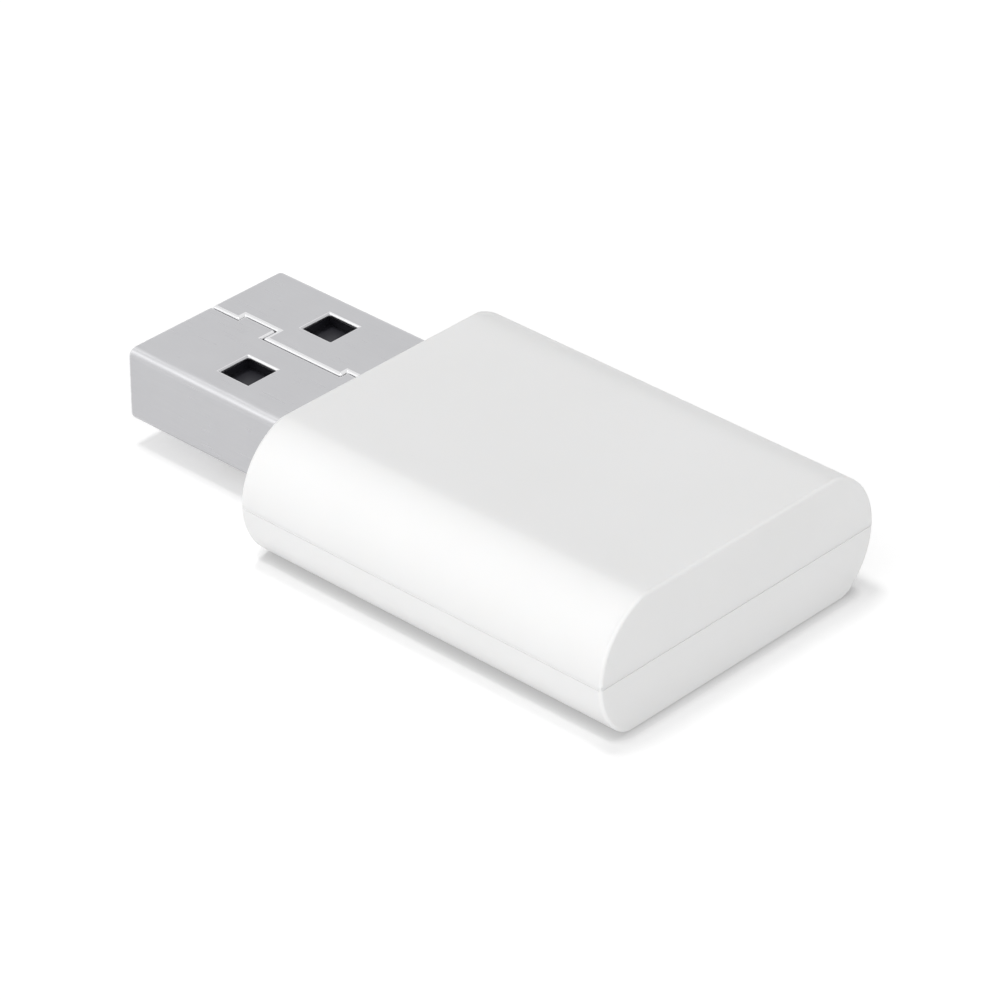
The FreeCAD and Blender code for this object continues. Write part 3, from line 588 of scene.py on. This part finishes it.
def is_waste(face):
    """Whether the press takes this bit of the strip away."""
    along, across, _ = face.calc_center_median()
    before, after = window_ends
    if before < along < after and any(low < across < high for low, high in windows):
        return True
    if FOOT_START < along < FOOT_END and any(low < across < high for low, high in foot_windows):
        return True
    # Where the seam steps, both edges stand back by half the gap.
    levels = [seam_level(along + shift) for shift in (-half_gap, half_gap)]
    return across < max(levels) + half_gap or across > girth + min(levels) - half_gap


def is_lip(face):
    """Whether this bit borders the seam on its far side, where the tool has burnished it and a highlight
    is painted.
    """
    along, across, _ = face.calc_center_median()
    reach = half_gap + SEAM_LIP
    return across < max(seam_level(along + shift) for shift in (-reach, reach)) + reach


waste = [face for face in strip.faces if is_waste(face)]
bmesh.ops.delete(strip, geom=waste, context="FACES")
for face in strip.faces:
    face.material_index = 1 if is_lip(face) else 0
print("strip of", len(strip.faces), "patches after", len(waste), "were punched out")

# %% The fold, the feet and the thickness
for corner in strip.verts:
    side, height = fold_place(corner.co.y)
    corner.co = (corner.co.x, side, height)


def at_the_root(corner, side):
    """Whether a corner lies on the line where one side wall's foot is bent out."""
    on_the_wall = abs(corner.co.y - side * PLUG_HALF) < TOUCHING
    on_the_board = abs(corner.co.z - BOARD_TOP) < TOUCHING
    return on_the_wall and on_the_board and FOOT_START - TOUCHING < corner.co.x < FOOT_END + TOUCHING


for side in (-1, 1):
    root = [edge for edge in strip.edges if edge.is_boundary
            and all(at_the_root(corner, side) for corner in edge.verts)]
    lanced = bmesh.ops.extrude_edge_only(strip, edges=root)["geom"]
    bmesh.ops.translate(strip, vec=(0, side * FOOT_REACH, 0),
                        verts=[item for item in lanced if isinstance(item, bmesh.types.BMVert)])
bmesh.ops.dissolve_limit(strip, angle_limit=FLAT_ANGLE, verts=strip.verts, edges=strip.edges,
                         delimit={"MATERIAL"})
bmesh.ops.recalc_face_normals(strip, faces=strip.faces)
top_face = max(strip.faces, key=lambda face: face.calc_center_median().z + face.calc_area())
if top_face.normal.z < 0:
    bmesh.ops.reverse_faces(strip, faces=strip.faces)


def new_piece(name, shape, finish):
    """A finished mesh piece from a bmesh, riding with the object."""
    mesh = bpy.data.meshes.new(name)
    shape.to_mesh(mesh)
    shape.free()
    mesh.materials.append(finish)
    mesh.shade_smooth()
    piece = bpy.data.objects.new(name, mesh)
    bpy.context.scene.collection.objects.link(piece)
    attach(piece, "root")
    return piece


def soften_edges(piece, width, steps=3):
    """A rounding of this width on every sharp edge."""
    bevel = piece.modifiers.new("softened_edges", "BEVEL")
    bevel.width = width
    bevel.segments = steps
    bevel.limit_method = "ANGLE"
    bevel.angle_limit = SHARP_ANGLE
    bevel.use_clamp_overlap = False
    bevel.harden_normals = True
    return bevel


shell = new_piece("plug_shell_folded", strip, shell_finish)
shell.data.materials.append(edge_finish_with_painted_light)
thickness = shell.modifiers.new("sheet", "SOLIDIFY")
thickness.thickness = SHEET
thickness.offset = -1
thickness.use_even_offset = True
# The softened edges take the second finish: burnish with a painted highlight and painted shade.
soften_edges(shell, EDGE_SOFTENING).material = 1
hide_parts("plug_shell")
print("folded shell:", len(shell.data.polygons), "faces before its thickness")

# %% [markdown]
# ## Inside the plug
#
# A black tongue carries four gold-plated strips that a socket's springs press on. Both
# come straight from the construction model: their shape is right, and they only need a
# finish. Gold this thin shows the polish of the metal under it, so it is smooth.

# %% Tongue and contacts
TONGUE_BLACK = (0.018, 0.018, 0.024)
GOLD = (0.93, 0.70, 0.36)

tongue_finish, tree, shader = new_finish("moulded_black", TONGUE_BLACK, 0.5)
vary_sheen(tree, shader, 0.5 * MM, 0.42, 0.58)
dent(tree, shader, cloud(tree, 0.06 * MM, detail=2.0), 0.004 * MM, 0.4)
dress(tongue_finish, "plug_insulator")

gold_finish, tree, shader = new_finish("gold_plating", GOLD, 0.22, metallic=1.0)
vary_sheen(tree, shader, 0.2 * MM, 0.17, 0.30, stretch=ROLLING)
contacts = [name for name in nodes if name.startswith("contact_")]
dress(gold_finish, *contacts)
print("contacts:", contacts)

# %% [markdown]
# ## The boards inside
#
# Nothing inside the closed case shows in the photograph, but every piece is there and gets
# its own finish. A circuit board is glass cloth in resin, tan at its cut edges, under a
# coat of tinted lacquer that follows the copper tracks as faint raised lines.

# %% Board finishes
GREEN_LACQUER = (0.012, 0.10, 0.035)
GREEN_TRACK = (0.02, 0.16, 0.055)
BLACK_LACQUER = (0.012, 0.014, 0.018)
BLACK_TRACK = (0.022, 0.026, 0.032)
LAMINATE_DARK = (0.42, 0.33, 0.18)
LAMINATE_PALE = (0.60, 0.50, 0.30)
TRACK_SPACING = 1.6 * MM
TRACK_RANGE = (0.04, 0.07)


def board_finish(name, lacquer, track):
    """Lacquer with raised tracks on the faces, bare laminate on the edges."""
    finish, tree, shader = new_finish(name, lacquer, 0.35)
    cells = add(tree, "ShaderNodeTexVoronoi", feature="DISTANCE_TO_EDGE")
    cells.inputs["Scale"].default_value = 1 / TRACK_SPACING
    tree.links.new(object_place(tree), cells.inputs["Vector"])
    tracks = spread(tree, cells.outputs["Distance"], 1, 0, *TRACK_RANGE)
    faces = blend_colours(tree, tracks, lacquer, track)
    level = size_of(tree, part_of(tree, surface_normal(tree), "Z"))
    weave = cloud(tree, 0.1 * MM, stretch=(0.2, 0.2, 1))
    fibres = blend_colours(tree, weave, LAMINATE_DARK, LAMINATE_PALE)
    tree.links.new(blend_colours(tree, level, fibres, faces), shader.inputs["Base Color"])
    dent(tree, shader, tracks, 0.02 * MM, 0.5)
    return finish


dress(board_finish("green_lacquer", GREEN_LACQUER, GREEN_TRACK), "main_board")
dress(board_finish("black_lacquer", BLACK_LACQUER, BLACK_TRACK), "module_board")
print("boards: main_board and module_board")

# %% Ceramic chips with tinned ends
TIN = (0.66, 0.66, 0.65)
CAPACITOR_BROWN = (0.36, 0.22, 0.11)
FERRITE_GREY = (0.05, 0.05, 0.055)
RESISTOR_BLACK = (0.02, 0.02, 0.025)
CORE_HALF = 0.6 * MM
TIN_EDGE = 0.02 * MM


def ceramic_chip(name, body_colour):
    """Fired ceramic with tinned ends: the ends are known by their distance from the middle."""
    low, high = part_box(name)
    finish, tree, shader = new_finish(name + "_finish", body_colour, 0.4)
    away = size_of(tree, part_of(tree, object_place(tree, centre=(low + high) / 2), "X"))
    ends = spread(tree, away, 0, 1, CORE_HALF, CORE_HALF + TIN_EDGE)
    tree.links.new(blend_colours(tree, ends, body_colour, TIN), shader.inputs["Base Color"])
    tree.links.new(ends, shader.inputs["Metallic"])
    dent(tree, shader, cloud(tree, 0.08 * MM), 0.004 * MM, 0.4)
    dress(finish, name)


ceramic_chip("input_capacitor", CAPACITOR_BROWN)
ceramic_chip("output_capacitor", CAPACITOR_BROWN)
ceramic_chip("ferrite_bead", FERRITE_GREY)
ceramic_chip("led_resistor", RESISTOR_BLACK)
print("tinned ends start", CORE_HALF / MM, "mm from a chip's middle")

# %% Resin, tin and copper on the boards
RESIN_BLACK = (0.016, 0.016, 0.018)
LENS_MILK = (0.78, 0.77, 0.66)
COPPER = (0.90, 0.66, 0.36)

resin_finish, tree, shader = new_finish("chip_resin", RESIN_BLACK, 0.55)
dent(tree, shader, cloud(tree, 0.05 * MM), 0.004 * MM, 0.5)
dress(resin_finish, "regulator_body", "radio_chip")

tin_finish, tree, shader = new_finish("tinned_metal", TIN, 0.3, metallic=1.0)
vary_sheen(tree, shader, 0.3 * MM, 0.22, 0.42)
dent(tree, shader, cloud(tree, 0.1 * MM), 0.003 * MM, 0.3)
leads = [name for name in nodes if name.startswith("regulator_lead")]
dress(tin_finish, "shield_can", "crystal", *leads)

lens_finish, tree, shader = new_finish("milky_resin", LENS_MILK, 0.25)
shader.inputs["Subsurface Weight"].default_value = 0.5
shader.inputs["Subsurface Scale"].default_value = 0.4 * MM
vary_sheen(tree, shader, 0.2 * MM, 0.2, 0.32)
dress(lens_finish, "status_led")

copper_finish, tree, shader = new_finish("plated_trace", COPPER, 0.35, metallic=1.0)
vary_sheen(tree, shader, 0.15 * MM, 0.28, 0.45)
dress(copper_finish, "antenna_trace")
print("finishes:", len(bpy.data.materials))
